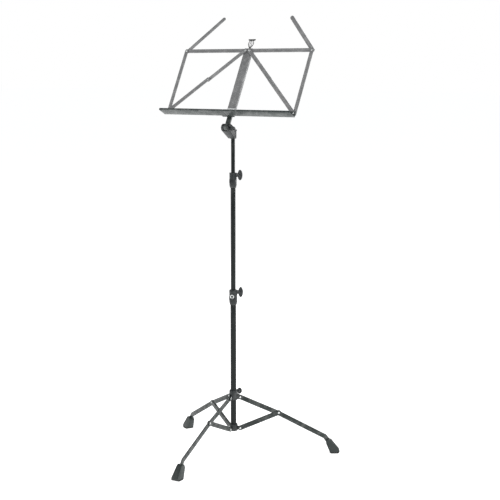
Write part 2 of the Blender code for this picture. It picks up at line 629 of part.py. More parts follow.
# ---------------------------------------------------------------- desk
def build_column():
    """The centre column, its stem, the bracket of the tray and the page clip."""
    half = COLUMN_WIDTH / 2
    inside = half - COLUMN_WALL
    section = [(-half, 0), (half, 0), (half, COLUMN_DEPTH), (inside, COLUMN_DEPTH), (inside, COLUMN_WALL),
               (-inside, COLUMN_WALL), (-inside, COLUMN_DEPTH), (-half, COLUMN_DEPTH)]
    low = -COLUMN_FOOT
    high = DESK_HEIGHT + COLUMN_TOP
    mesh = plate_mesh(section, [], high - low)
    mesh.transform(Matrix.Translation((0, 0, (low + high) / 2)))
    column = new_object("desk_column", mesh, DESK, (0, 0, 0), GREY_COAT)
    for side in (-1, 1):
        place = side * PIVOT_HALF
        hole = rod("column_hole_%d" % side, (place, -COLUMN_DEPTH, DESK_HEIGHT),
                   (place, COLUMN_DEPTH * 2, DESK_HEIGHT), RIVET_HOLE, DESK, (0, 0, 0), None, 12)
        boolean(column, hole, "DIFFERENCE")

    near = DESK_SET - STEM_THICK / 2
    far = DESK_SET + STEM_THICK / 2
    stem = block("desk_stem", (-STEM_WIDTH / 2, near, -DESK_RISE), (STEM_WIDTH / 2, far, STEM_REACH), DESK,
                 (0, DESK_SET, -DESK_RISE), BLACK_PLASTIC)
    ends = ((-STEM_WIDTH / 2, DESK_SET, -DESK_RISE), (STEM_WIDTH / 2, DESK_SET, -DESK_RISE))
    eye = rod("stem_eye", *ends, STEM_EYE_R, DESK, (0, 0, 0), None, 24)
    bore = rod("stem_bore", (-STEM_WIDTH, DESK_SET, -DESK_RISE), (STEM_WIDTH, DESK_SET, -DESK_RISE),
               TILT_BOLT_R + GAP, DESK, (0, 0, 0), None)
    boolean(stem, eye, "UNION")
    boolean(stem, bore, "DIFFERENCE")

    back = -GAP
    front = TRAY_LAYER[1] + LAYER_GAP
    bracket = block("tray_bracket", (-BRACKET_WIDTH / 2, front, -BRACKET_HEIGHT * BRACKET_SHARE),
                    (BRACKET_WIDTH / 2, back, BRACKET_HEIGHT * (1 - BRACKET_SHARE)), DESK, (0, 0, 0),
                    BLACK_PLASTIC, BRACKET_EDGE)
    for side in (-1, 1):
        place = side * PIVOT_HALF
        hole = rod("bracket_hole_%d" % side, (place, front * 2, 0), (place, back * 4, 0), RIVET_HOLE, DESK,
                   (0, 0, 0), None, 12)
        boolean(bracket, hole, "DIFFERENCE")
    build_clip()


def build_clip():
    """The plate in the column's top and the sprung wire clip that holds the pages."""
    inside = COLUMN_WIDTH / 2 - COLUMN_WALL - GAP
    near = COLUMN_WALL + GAP + RIVET_HEAD + GAP
    far = COLUMN_DEPTH - GAP
    top = DESK_HEIGHT + COLUMN_TOP + PLATE_PROUD
    block("clip_plate", (-inside, near, DESK_HEIGHT - PLATE_DROP), (inside, far, top), DESK, (0, 0, 0),
          GREY_COAT, PLATE_EDGE)
    deep = (near + far) / 2
    base = top + GAP + WIRE_R * 2
    bar = base + CLIP_RISE
    wide = CLIP_WIDTH / 2
    outline = [(-wide * CLIP_TAPER, bar - CLIP_BAR / 2), (wide * CLIP_TAPER, bar - CLIP_BAR / 2),
               (wide, bar + CLIP_BAR / 2),
               (-wide, bar + CLIP_BAR / 2)]
    clip = upright_plate("page_clip", outline, [], deep - WIRE_R * 1.4, deep + WIRE_R * 1.4, DESK,
                         (0, deep, base), BLACK_COAT)
    eye = rod("clip_eye", (-WIRE_R * 4, deep, base), (WIRE_R * 4, deep, base), WIRE_R * 1.8, DESK,
              (0, 0, 0), None, 12)
    boolean(clip, eye, "UNION")
    for side in (-1, 0, 1):
        curve = bpy.data.curves.new("strand", "CURVE")
        curve.dimensions = "3D"
        curve.bevel_depth = WIRE_R
        curve.bevel_resolution = 2
        curve.use_fill_caps = True
        spline = curve.splines.new("POLY")
        count = 12 if side else 2
        spline.points.add(count)
        for i, point in enumerate(spline.points):
            t = i / count
            bulge = side * CLIP_WAIST * math.sin(math.pi * (STRAND_START + STRAND_RUN * t))
            point.co = (bulge, deep, base + (bar - base) * t, 1)
        strand = new_object("clip_strand_%d" % side, mesh_of_curve(curve), DESK, (0, 0, 0), None)
        boolean(clip, strand, "UNION")


def mirror_x(points, side):
    return [(side * x, z) for x, z in points]


def build_desk_side(name, side):
    """One half of the folding desk: tray, arm, top bar, two-piece stay, ear and rivets."""
    pivot = (side * PIVOT_HALF, 0)
    top = (side * PIVOT_HALF, DESK_HEIGHT)
    corner = (side * DESK_HALF, DESK_HEIGHT)
    arm_foot = (side * DESK_HALF, 0)
    elbow = (top[0] + (arm_foot[0] - top[0]) * ELBOW_SHARE, DESK_HEIGHT * (1 - ELBOW_SHARE))
    ear_turn = math.radians(EAR_ANGLE)
    tip = (corner[0] - side * EAR_LENGTH * math.cos(ear_turn), corner[1] + EAR_LENGTH * math.sin(ear_turn))

    bars = (("top_bar_", top, corner, TOP_LAYER, top), ("arm_", arm_foot, corner, UPPER_LAYER, arm_foot),
            ("upper_stay_", top, elbow, UPPER_LAYER, top),
            ("lower_stay_", elbow, arm_foot, LOWER_LAYER, arm_foot))
    for kind, a, b, layer, origin in bars:
        holes = [circle(a, RIVET_HOLE, 12), circle(b, RIVET_HOLE, 12)]
        upright_plate(kind + name, strap_outline(a, b, BAR_WIDTH / 2), holes, *layer, DESK,
                      (origin[0], 0, origin[1]), GREY_COAT)
    upright_plate("ear_" + name, strap_outline(corner, tip, BAR_WIDTH / 2), [circle(corner, RIVET_HOLE, 12)],
                  *EAR_LAYER, DESK, (corner[0], 0, corner[1]), GREY_COAT)
    build_tray(name, side, pivot, arm_foot)

    half_room = HEAD_ROOM / 2 - GAP / 2
    rivets = (("tray_rivet_", pivot, TRAY_LAYER[0] - GAP, -GAP * 5, RIVET_HEAD, 0),
              ("top_rivet_", top, UPPER_LAYER[0] - GAP, COLUMN_WALL + GAP, RIVET_HEAD - GAP,
               RIVET_HEAD - GAP),
              ("arm_rivet_", arm_foot, TRAY_LAYER[0] - GAP, UPPER_LAYER[1], RIVET_HEAD, 0),
              ("corner_rivet_", corner, UPPER_LAYER[0] - GAP, EAR_LAYER[1] + GAP, RIVET_HEAD, RIVET_HEAD),
              ("elbow_stud_", elbow, UPPER_LAYER[0] - GAP, UPPER_LAYER[1], half_room - GAP, 0),
              ("elbow_rivet_", elbow, LOWER_LAYER[0], LOWER_LAYER[1] + GAP, 0, half_room - GAP))
    for kind, place, front, back, front_head, back_head in rivets:
        rivet(kind + name, back, front, back_head, front_head, DESK, (place[0], 0, place[1]))


def build_tray(name, side, pivot, arm_foot):
    """Half of the tray: an upright flange, a shelf and a lip, folded from one sheet."""
    round_r = PIVOT_HALF - GAP * 2
    inner = GAP * 1.5
    outer = DESK_HALF + TRAY_OVERHANG
    shelf = -TRAY_DROP
    flange = [(inner + GAP, shelf + TRAY_THICK / 2), (outer - GAP, shelf + TRAY_THICK / 2),
              (outer - GAP, round_r)]
    flange += arc((PIVOT_HALF, 0), round_r, 90, 180, 8)
    outline = mirror_x(flange, side)
    holes = [circle(pivot, RIVET_HOLE, 12), circle(arm_foot, RIVET_HOLE, 12)]
    tray = upright_plate("tray_" + name, outline, holes, *TRAY_LAYER, DESK, (pivot[0], 0, 0), GREY_COAT)
    back = TRAY_LAYER[1] - GAP / 2
    front = TRAY_LAYER[0] - TRAY_DEPTH
    section = [(back, shelf), (back, shelf + TRAY_THICK), (front + TRAY_THICK, shelf + TRAY_THICK),
               (front + TRAY_THICK, shelf + TRAY_LIP), (front, shelf + TRAY_LIP), (front, shelf)]
    low, high = sorted((side * inner, side * outer))
    sheet = side_plate("tray_shelf_" + name, section, [], low, high, DESK, (0, 0, 0), None)
    boolean(tray, sheet, "UNION")


def build_stand():
    build_pole()
    build_hub()
    build_collar()
    for i, name in enumerate(LEG_NAMES):
        build_leg(name, LEG_AZIMUTH + 120 * i)
    build_head()
    build_column()
    for name, side in (("left", -1), ("right", 1)):
        build_desk_side(name, side)


build_stand()
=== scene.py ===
# %% [markdown]
# # A folding music stand
#
# The measured model of the stand is loaded first.  It is the frame: every piece made below takes its
# place from it and rides on one of its moving bodies.  What this lesson adds is the look of the real
# thing: soft edges, round tubes, moulded boots, domed rivets and believable finishes.

# %% Load the frame
import json
import math

import bmesh
import bpy
from mathutils import Matrix, Vector


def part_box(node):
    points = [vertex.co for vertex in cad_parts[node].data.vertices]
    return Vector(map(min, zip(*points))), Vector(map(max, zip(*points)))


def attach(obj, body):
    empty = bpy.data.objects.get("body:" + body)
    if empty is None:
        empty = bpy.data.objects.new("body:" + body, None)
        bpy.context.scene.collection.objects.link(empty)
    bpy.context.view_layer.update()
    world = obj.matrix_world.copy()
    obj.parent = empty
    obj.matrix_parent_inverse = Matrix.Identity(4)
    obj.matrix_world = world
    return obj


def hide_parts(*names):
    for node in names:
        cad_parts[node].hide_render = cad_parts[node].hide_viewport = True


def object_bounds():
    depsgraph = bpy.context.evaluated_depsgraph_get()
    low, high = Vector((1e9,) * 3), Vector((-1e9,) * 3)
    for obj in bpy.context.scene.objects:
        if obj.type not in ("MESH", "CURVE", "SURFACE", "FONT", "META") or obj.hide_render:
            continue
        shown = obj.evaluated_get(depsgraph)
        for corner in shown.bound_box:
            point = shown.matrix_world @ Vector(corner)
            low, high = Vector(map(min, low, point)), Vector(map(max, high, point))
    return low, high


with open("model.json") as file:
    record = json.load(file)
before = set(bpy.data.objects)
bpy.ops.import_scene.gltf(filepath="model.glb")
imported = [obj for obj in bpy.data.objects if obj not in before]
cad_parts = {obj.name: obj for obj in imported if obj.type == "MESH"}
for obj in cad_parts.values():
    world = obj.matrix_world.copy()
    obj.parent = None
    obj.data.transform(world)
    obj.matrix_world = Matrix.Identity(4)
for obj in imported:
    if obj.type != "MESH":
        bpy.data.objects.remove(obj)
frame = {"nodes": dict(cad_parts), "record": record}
cad_box = [[float(v) for v in corner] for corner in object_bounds()]
nodes = frame["nodes"]
body_of = {}
for body_name, members in frame["record"]["behaviour"]["bodies"].items():
    for member in members:
        body_of[member] = body_name
joints = {joint["name"]: joint for joint in frame["record"]["behaviour"]["joints"]}
print(len(nodes), "nodes on", len(set(body_of.values())), "bodies, box", cad_box)


# %% [markdown]
# ## Places read from the frame
#
# A joint's position and axis are exact, so they make good anchors: the tilt hinge gives the desk's lean,
# each leg's knee gives the leg's direction.  `middle` and `span` read a node's box for the rest.

# %% Anchors
def low_high(node):
    low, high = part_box(node)
    return Vector(low), Vector(high)


def middle(node):
    low, high = low_high(node)
    return (low + high) / 2


def span(node):
    low, high = low_high(node)
    return high - low


desk_out = Vector(joints["tray_right_fold"]["axis"]).normalized()     # out of the desk's face
desk_up = Vector((1, 0, 0)).cross(desk_out).normalized()              # up its slope
if desk_up.z < 0:
    desk_up.negate()
leg_names = ("front", "right", "left")
leg_out = {}
for leg_name in leg_names:
    pin = Vector(joints["leg_%s_knee" % leg_name]["pos_m"])
    leg_out[leg_name] = Vector((pin.x, pin.y, 0)).normalized()
print("desk faces", tuple(round(v, 3) for v in desk_out), "and rises", tuple(round(v, 3) for v in desk_up))


# %% [markdown]
# ## Shader groups
#
# Four effects turn up in several finishes, so each is a node group with named inputs.
# *Coat grain* is the fine orange peel of powder coat, or the spark-eroded skin of moulded plastic.
# *Handling* is the slow change of gloss and tone left by hands and dust.
# *Scuffs* are the short bright hairlines that bags and car boots leave.  *Edge wear* thins the coat
# where the rounds were marked.

# %% Helpers for shader groups
def new_group(name, inputs, outputs):
    """A shader group with float inputs (name, default) and outputs (name, kind)."""
    group = bpy.data.node_groups.new(name, "ShaderNodeTree")
    for label, default in inputs:
        socket = group.interface.new_socket(label, in_out="INPUT", socket_type="NodeSocketFloat")
        socket.default_value = default
    for label, kind in outputs:
        group.interface.new_socket(label, in_out="OUTPUT", socket_type=kind)
    entry = group.nodes.new("NodeGroupInput")
    leave = group.nodes.new("NodeGroupOutput")
    return group, entry, leave


def maths(tree, operation, first, second, clamp=False):
    """A Math node whose inputs are sockets or numbers."""
    node = tree.nodes.new("ShaderNodeMath")
    node.operation = operation
    node.use_clamp = clamp
    for index, value in enumerate((first, second)):
        if isinstance(value, (int, float)):
            node.inputs[index].default_value = value
        else:
            tree.links.new(value, node.inputs[index])
    return node.outputs[0]


def ramp(tree, value, low, high):
    """Stretch a value between two limits to 0..1."""
    node = tree.nodes.new("ShaderNodeMapRange")
    node.inputs["From Min"].default_value = low
    node.inputs["From Max"].default_value = high
    tree.links.new(value, node.inputs["Value"])
    return node.outputs["Result"]


def noise(tree, vector, scale, detail, roughness=0.5):
    node = tree.nodes.new("ShaderNodeTexNoise")
    if isinstance(scale, (int, float)):
        node.inputs["Scale"].default_value = scale
    else:
        tree.links.new(scale, node.inputs["Scale"])
    node.inputs["Detail"].default_value = detail
    node.inputs["Roughness"].default_value = roughness
    tree.links.new(vector, node.inputs["Vector"])
    return node.outputs["Fac"]


# %% The grain of a coat
def make_grain_group():
    group, entry, leave = new_group("coat_grain", [("Scale", 900.0)],
                                    [("Height", "NodeSocketFloat"), ("Fleck", "NodeSocketFloat")])
    place = group.nodes.new("ShaderNodeTexCoord").outputs["Object"]
    peel = noise(group, place, entry.outputs["Scale"], 2.0)
    fine = noise(group, place, maths(group, "MULTIPLY", entry.outputs["Scale"], 3.1), 1.0)
    both = maths(group, "ADD", maths(group, "MULTIPLY", peel, 0.7), maths(group, "MULTIPLY", fine, 0.3))
    group.links.new(both, leave.inputs["Height"])
    group.links.new(ramp(group, fine, 0.62, 0.78), leave.inputs["Fleck"])
    return group


# %% The marks of handling
def make_handling_group():
    group, entry, leave = new_group("handling", [("Size", 22.0)],
                                    [("Tone", "NodeSocketFloat"), ("Gloss", "NodeSocketFloat")])
    place = group.nodes.new("ShaderNodeTexCoord").outputs["Object"]
    cloud = noise(group, place, entry.outputs["Size"], 4.0, 0.6)
    smear = noise(group, place, maths(group, "MULTIPLY", entry.outputs["Size"], 4.7), 3.0, 0.55)
    group.links.new(ramp(group, cloud, 0.3, 0.7), leave.inputs["Tone"])
    group.links.new(ramp(group, smear, 0.35, 0.68), leave.inputs["Gloss"])
    return group


# %% Hairline scuffs
def make_scuff_group():
    group, entry, leave = new_group("scuffs", [("Scale", 60.0), ("Amount", 0.5)],
                                    [("Mask", "NodeSocketFloat")])
    place = group.nodes.new("ShaderNodeTexCoord").outputs["Object"]
    stretch = group.nodes.new("ShaderNodeMapping")
    stretch.inputs["Scale"].default_value = (9.0, 7.0, 1.0)
    stretch.inputs["Rotation"].default_value = (0.5, 0.3, 0.9)
    group.links.new(place, stretch.inputs["Vector"])
    line = noise(group, stretch.outputs["Vector"], entry.outputs["Scale"], 2.0, 0.4)
    patch = noise(group, place, 14.0, 2.0)
    thin = ramp(group, line, 0.69, 0.76)
    where = ramp(group, patch, 0.50, 0.66)
    group.links.new(maths(group, "MULTIPLY", maths(group, "MULTIPLY", thin, where, True),
                          entry.outputs["Amount"], True), leave.inputs["Mask"])
    return group


# %% Wear along rounded edges
def make_wear_group():
    group, entry, leave = new_group("edge_wear", [("Edge", 0.0), ("Amount", 0.4)],
                                    [("Mask", "NodeSocketFloat")])
    place = group.nodes.new("ShaderNodeTexCoord").outputs["Object"]
    patch = ramp(group, noise(group, place, 48.0, 5.0, 0.65), 0.46, 0.64)
    held = ramp(group, entry.outputs["Edge"], 0.25, 0.9)
    group.links.new(maths(group, "MULTIPLY", maths(group, "MULTIPLY", patch, held, True),
                          entry.outputs["Amount"], True), leave.inputs["Mask"])
    return group


grain_group = make_grain_group()
wear_group = make_wear_group()
handling_group = make_handling_group()
scuff_group = make_scuff_group()
print("shader groups:", grain_group.name, handling_group.name, scuff_group.name, wear_group.name)


# %% [markdown]
# ## Finishes
#
# Every finish is one Principled shader fed by the groups.  The base colour runs between two close tones,
# the gloss varies with handling, and the grain goes into a Bump node.  The numbers are what differs
# between satin powder coat, moulded plastic and zinc.

# %% One recipe for all finishes
def mix_colour(tree, factor, first, second):
    node = tree.nodes.new("ShaderNodeMix")
    node.data_type = "RGBA"
    tree.links.new(factor, node.inputs["Factor"])
    for socket, value in ((node.inputs["A"], first), (node.inputs["B"], second)):
        if isinstance(value, tuple):
            socket.default_value = (*value, 1.0)
        else:
            tree.links.new(value, socket)
    return node.outputs["Result"]


GRAIN_DEPTH = 0.0002        # of the relief that the bump stands for
FLECK_SHARE = 0.35          # how far a fleck goes towards the lighter tone


def make_finish(name, dark, light, worn, gloss, grain, bump, scuff, metallic=0.0, specular=0.5, size=22.0,
                wear=0.4):
    """A finish: two tones, the colour of scuffs, a (low, high) roughness, grain scale and bump strength."""
    mat = bpy.data.materials.new(name)
    mat.use_nodes = True
    tree = mat.node_tree
    shader = tree.nodes["Principled BSDF"]
    shader.inputs["Metallic"].default_value = metallic
    shader.inputs["Specular IOR Level"].default_value = specular
    groups = {}
    for key, group in (("grain", grain_group), ("handling", handling_group), ("scuff", scuff_group)):
        node = tree.nodes.new("ShaderNodeGroup")
        node.node_tree = group
        groups[key] = node
    groups["grain"].inputs["Scale"].default_value = grain
    groups["handling"].inputs["Size"].default_value = size
    groups["scuff"].inputs["Amount"].default_value = scuff
    tone = mix_colour(tree, groups["handling"].outputs["Tone"], dark, light)
    fleck = maths(tree, "MULTIPLY", groups["grain"].outputs["Fleck"], FLECK_SHARE)
    flecked = mix_colour(tree, fleck, tone, light)
    rounds = tree.nodes.new("ShaderNodeAttribute")
    rounds.attribute_name = "edge"
    rub = tree.nodes.new("ShaderNodeGroup")
    rub.node_tree = wear_group
    tree.links.new(rounds.outputs["Fac"], rub.inputs["Edge"])
    rub.inputs["Amount"].default_value = wear
    marks = maths(tree, "MAXIMUM", groups["scuff"].outputs["Mask"], rub.outputs["Mask"])
    colour = mix_colour(tree, marks, flecked, worn)
    tree.links.new(colour, shader.inputs["Base Color"])
    rough = tree.nodes.new("ShaderNodeMapRange")
    rough.inputs["To Min"].default_value = gloss[0]
    rough.inputs["To Max"].default_value = gloss[1]
    tree.links.new(groups["handling"].outputs["Gloss"], rough.inputs["Value"])
    tree.links.new(rough.outputs["Result"], shader.inputs["Roughness"])
    relief = tree.nodes.new("ShaderNodeBump")
    relief.inputs["Strength"].default_value = bump
    relief.inputs["Distance"].default_value = GRAIN_DEPTH
    tree.links.new(groups["grain"].outputs["Height"], relief.inputs["Height"])
    tree.links.new(relief.outputs["Normal"], shader.inputs["Normal"])
    return mat


# %% The finishes of the stand
pole_coat = make_finish(
    "pole_gloss_black", dark=(0.003, 0.0055, 0.0053), light=(0.006, 0.0095, 0.0092),
    worn=(0.10, 0.105, 0.10), gloss=(0.19, 0.29),
    grain=1300.0, bump=0.03, scuff=0.22, specular=0.24)
leg_coat = make_finish(
    "leg_satin_black", dark=(0.010, 0.016, 0.0148), light=(0.018, 0.026, 0.024),
    worn=(0.18, 0.185, 0.18), gloss=(0.30, 0.44),
    grain=1100.0, bump=0.06, scuff=0.45, specular=0.40)
# The desk's bars and column are the same black powder coat as the tray; their grey tones are painted glare,
# the reflection of the overhead light painted into the coat's colour.
desk_painted_glare = make_finish(
    "desk_black_painted_glare", dark=(0.150, 0.152, 0.154), light=(0.190, 0.191, 0.193),
    worn=(0.36, 0.36, 0.36), gloss=(0.36, 0.48),
    grain=1100.0, bump=0.06, scuff=0.4)
tray_coat = make_finish(
    "tray_satin_grey", dark=(0.017, 0.024, 0.023), light=(0.027, 0.036, 0.035),
    worn=(0.17, 0.18, 0.175), gloss=(0.38, 0.50),
    grain=1100.0, bump=0.06, scuff=0.35)
moulded = make_finish(
    "moulded_black", dark=(0.010, 0.013, 0.014), light=(0.018, 0.022, 0.023),
    worn=(0.10, 0.105, 0.105), gloss=(0.32, 0.46),
    grain=2300.0, bump=0.08, scuff=0.25, specular=0.40)
boot_plastic = make_finish(
    "boot_plastic", dark=(0.014, 0.021, 0.0198), light=(0.024, 0.032, 0.030),
    worn=(0.13, 0.13, 0.125), gloss=(0.42, 0.58),
    grain=1900.0, bump=0.12, scuff=0.4)
sole_rubber = make_finish(
    "sole_rubber", dark=(0.012, 0.013, 0.013), light=(0.024, 0.024, 0.023),
    worn=(0.09, 0.088, 0.085), gloss=(0.70, 0.88),
    grain=1500.0, bump=0.8, scuff=0.6)
zinc_plate = make_finish(
    "zinc_plate", dark=(0.52, 0.54, 0.53), light=(0.70, 0.71, 0.70),
    worn=(0.82, 0.82, 0.82), gloss=(0.24, 0.40),
    grain=2600.0, bump=0.25, scuff=0.4, metallic=1.0, size=160.0)
bright_plate = make_finish(
    "bright_plate", dark=(0.78, 0.80, 0.80), light=(0.88, 0.89, 0.89),
    worn=(0.95, 0.95, 0.95), gloss=(0.28, 0.40),
    grain=2600.0, bump=0.1, scuff=0.2, metallic=0.15, size=160.0)
spring_black = make_finish(
    "spring_black", dark=(0.030, 0.031, 0.031), light=(0.050, 0.051, 0.051),
    worn=(0.3, 0.3, 0.3), gloss=(0.30, 0.42),
    grain=2600.0, bump=0.2, scuff=0.5, metallic=0.4, size=90.0)
print("finishes:", [m.name for m in bpy.data.materials])

# %% Which finish each CAD node wears
def finish_for(node):
    if "rivet" in node or "stud" in node or node == "tilt_nut":
        return zinc_plate
    if node in ("lower_tube", "middle_tube", "upper_tube"):
        return pole_coat
    if node in ("page_clip", "clip_plate"):
        return spring_black
    if node.startswith("foot_"):
        return boot_plastic
    if node in ("base_hub", "leg_collar", "desk_head"):
        return moulded
    if "clamp" in node or "screw" in node or "knob" in node:
        return moulded
    if node.startswith(("tray_", "desk_stem")):
        return tray_coat
    if node.startswith(("leg_", "brace_")):
        return leg_coat
    # The rest of the desk wears the black coat with painted glare: grey base colour standing in for reflected
    # light.
    return desk_painted_glare


for name, node in nodes.items():
    node.data.materials.clear()
    node.data.materials.append(finish_for(name))

# %% [markdown]
# ## Softened metal
#
# Pressed steel and mouldings never have razor edges: the press rolls them and the coat rounds them
# further.  The frame's own solids are copied, their flat faces made whole again, and each sharp edge is
# given a narrow round.  The points of that round carry the attribute *edge*, so the finish can wear
# through exactly there.

# %% A helper that softens a copied node
SHARP = math.radians(32)            # edges that turn more than this are rounded


def placed(name, mesh, body, material, stands_for=(), smooth_angle=None):
    """A finished piece: its mesh lies in the frame already; it rides on its body and wears one finish."""
    piece = bpy.data.objects.new(name, mesh)
    bpy.context.collection.objects.link(piece)
    mesh.materials.clear()
    mesh.materials.append(material)
    mesh.polygons.foreach_set("use_smooth", [True] * len(mesh.polygons))
    if smooth_angle is not None:
        mesh.set_sharp_from_angle(angle=smooth_angle)
    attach(piece, body)
    if stands_for:
        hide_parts(*stands_for)
    return piece


def softened_mesh(node, width, segments=2):
    """The node's solid with its sharp edges rounded and marked."""
    work = bmesh.new()
    work.from_mesh(nodes[node].data)
    bmesh.ops.remove_doubles(work, verts=work.verts, dist=1e-6)
    bmesh.ops.dissolve_limit(work, angle_limit=math.radians(1.0), verts=work.verts, edges=work.edges)
    sharp = [e for e in work.edges if len(e.link_faces) == 2 and e.calc_face_angle(0) > SHARP]
    mark = work.verts.layers.float.new("edge")
    made = bmesh.ops.bevel(work, geom=sharp, offset=width, offset_type="OFFSET", segments=segments,
                           profile=0.5, affect="EDGES", clamp_overlap=True)
    for vert in made["verts"]:
        vert[mark] = 1.0
    mesh = bpy.data.meshes.new(node + "_soft")
    work.to_mesh(mesh)
    work.free()
    mesh.update()
    return mesh


def soften(node, width, material, segments=2, angle=40.0):
    mesh = softened_mesh(node, width, segments)
    return placed(node + "_shown", mesh, body_of[node], material, (node,), math.radians(angle))


# %% Soften the straps, the channels and the mouldings
round_of = {"arm": 0.00045, "ear": 0.00045, "top_bar": 0.00045, "upper_stay": 0.00045, "lower_stay": 0.00045,
            "desk_column": 0.0005, "desk_stem": 0.0006, "desk_head": 0.0008, "clip_plate": 0.0005,
            "tray_left": 0.00045, "tray_right": 0.00045, "tray_bracket": 0.0008,
            "leg_front": 0.0007, "leg_right": 0.0007, "leg_left": 0.0007, "brace": 0.0004,
            "leg_collar": 0.0006, "base_hub": 0.0006, "lower_clamp": 0.0008, "upper_clamp": 0.0008}
softened = []
for name in sorted(nodes):
    if "screw" in name or "rivet" in name:
        continue
    for start, width in round_of.items():
        if name.startswith(start):
            softened.append(soften(name, width, finish_for(name)))
            break
print("softened", len(softened), "pieces")

# %% [markdown]
# ## Tubes
#
# The pole is three drawn steel tubes.  A lathe turns one small section round the axis: outer skin,
# a rolled lip at the end where the next tube slides in, and the inside wall seen when the tube is pulled out.

# %% A lathe, and the three tubes
def lathe(name, profile, segments=72, marked=()):
    """Turn a closed (radius, height) outline round z; the marked indices carry the edge attribute."""
    work = bmesh.new()
    mark = work.verts.layers.float.new("edge")
    rings = []
    for index, (radius, height) in enumerate(profile):
        ring = []
        for step in range(segments):
            turn = 2 * math.pi * step / segments
            vert = work.verts.new((radius * math.cos(turn), radius * math.sin(turn), height))
            vert[mark] = 1.0 if index in marked else 0.0
            ring.append(vert)
        rings.append(ring)
    for first, second in zip(rings, rings[1:] + rings[:1]):
        for step in range(segments):
            after = (step + 1) % segments
            work.faces.new((first[step], first[after], second[after], second[step]))
    bmesh.ops.remove_doubles(work, verts=work.verts, dist=1e-7)
    bmesh.ops.recalc_face_normals(work, faces=work.faces)
    mesh = bpy.data.meshes.new(name)
    work.to_mesh(mesh)
    work.free()
    return mesh


def tube_profile(outer, inner, low, high, lip):
    """The wall of a tube with both ends rounded by the lip, and a fine burnished ring under the top."""
    arcs = []
    for place, side in ((high, 1), (low, -1)):
        for step in range(5):
            turn = math.pi / 2 * step / 4
            arcs.append((outer - lip + lip * math.cos(turn), place - side * (lip - lip * math.sin(turn))))
    top, bottom = arcs[:5], arcs[5:]
    return ([(outer, low + (high - low) * share) for share in (0.33, 0.66)] + top
            + [(inner, high), (inner, low)] + bottom[::-1])


for tube_name in ("lower_tube", "middle_tube", "upper_tube"):
    low, high = low_high(tube_name)
    outer = (high.x - low.x) / 2
    profile = tube_profile(outer, outer - 0.001, low.z, high.z, 0.0005)
    mesh = lathe(tube_name + "_shown", profile, 96, marked=range(2, 8))
    placed(tube_name + "_shown", mesh, body_of[tube_name], pole_coat, (tube_name,), math.radians(50))
    print(tube_name, "radius %.1f mm, length %.0f mm" % (outer * 1e3, (high.z - low.z) * 1e3))

# %% [markdown]
# ## Rivets
#
# More than twenty rivets hold the stand together, all with the same pressed head.  One head is drawn as
# a pattern, with the small dimple that the punch leaves.  Geometry Nodes puts it wherever a point says,
# turned along the point's *axis*; each moving body then gets its own plain mesh of rivets.

# %% Where every rivet head sits
def rivet_axis(node):
    """The direction a rivet runs: across its leg in the tripod, out of the desk's face above."""
    for leg_name in leg_names:
        if node in ("hub_rivet_" + leg_name, "knee_rivet_" + leg_name, "collar_rivet_" + leg_name):
            return leg_out[leg_name].cross(Vector((0, 0, 1))).normalized()
    return desk_out


def rivet_ends(node):
    """The two outermost points of a rivet on its own line, and the way each head faces."""
    axis = rivet_axis(node)
    points = [v.co.copy() for v in nodes[node].data.vertices]
    reach = [p.dot(axis) for p in points]
    heart = middle(node)
    heart -= axis * heart.dot(axis)
    return [(heart + axis * max(reach), axis), (heart + axis * min(reach), -axis)]


rivet_nodes = [name for name in nodes if "rivet" in name or "stud" in name]
heads_of = {}
for name in rivet_nodes:
    heads_of.setdefault(body_of[name], []).extend(rivet_ends(name))


# %% The pattern of one head, its top at the origin
def head_pattern():
    """Head and shank, with a punched dimple; the outline runs from the axis out and back."""
    radius, height, shank = 0.0034, 0.00105, 0.0019
    profile = [(0.0, -0.00018), (0.0007, -0.00016), (0.00105, 0.0), (0.0016, -0.00003), (0.0024, -0.00022),
               (0.0031, -0.00062), (radius, -0.0009), (radius, -height), (shank, -height), (shank, -0.0034),
               (0.0, -0.0034)]
    mesh = lathe("rivet_head", profile, 24, marked=(2, 3, 6))
    pattern = bpy.data.objects.new("rivet_head_pattern", mesh)
    bpy.context.collection.objects.link(pattern)
    return pattern


# %% The tree that sets a pattern on points
def scatter_tree():
    """Geometry Nodes: Pattern, Size and Finish are inputs; the points carry the vector attribute axis."""
    tree = bpy.data.node_groups.new("set_on_points", "GeometryNodeTree")
    for label, kind, way in (("Geometry", "NodeSocketGeometry", "INPUT"),
                             ("Pattern", "NodeSocketObject", "INPUT"),
                             ("Size", "NodeSocketFloat", "INPUT"),
                             ("Finish", "NodeSocketMaterial", "INPUT"),
                             ("Geometry", "NodeSocketGeometry", "OUTPUT")):
        socket = tree.interface.new_socket(label, in_out=way, socket_type=kind)
        if label == "Size":
            socket.default_value = 1.0
    entry = tree.nodes.new("NodeGroupInput")
    leave = tree.nodes.new("NodeGroupOutput")
    source = tree.nodes.new("GeometryNodeObjectInfo")
    tree.links.new(entry.outputs["Pattern"], source.inputs["Object"])
    axis = tree.nodes.new("GeometryNodeInputNamedAttribute")
    axis.data_type = "FLOAT_VECTOR"
    axis.inputs["Name"].default_value = "axis"
    turn = tree.nodes.new("FunctionNodeAlignRotationToVector")
    turn.axis = "Z"
    tree.links.new(axis.outputs["Attribute"], turn.inputs["Vector"])
    put = tree.nodes.new("GeometryNodeInstanceOnPoints")
    tree.links.new(entry.outputs["Geometry"], put.inputs["Points"])
    tree.links.new(source.outputs["Geometry"], put.inputs["Instance"])
    tree.links.new(turn.outputs["Rotation"], put.inputs["Rotation"])
    tree.links.new(entry.outputs["Size"], put.inputs["Scale"])
    real = tree.nodes.new("GeometryNodeRealizeInstances")
    tree.links.new(put.outputs["Instances"], real.inputs["Geometry"])
    finish = tree.nodes.new("GeometryNodeSetMaterial")
    tree.links.new(real.outputs["Geometry"], finish.inputs["Geometry"])
    tree.links.new(entry.outputs["Finish"], finish.inputs["Material"])
    tree.links.new(finish.outputs["Geometry"], leave.inputs["Geometry"])
    return tree


def socket_id(tree, label):
    return next(item.identifier for item in tree.interface.items_tree
                if item.name == label and item.in_out == "INPUT")


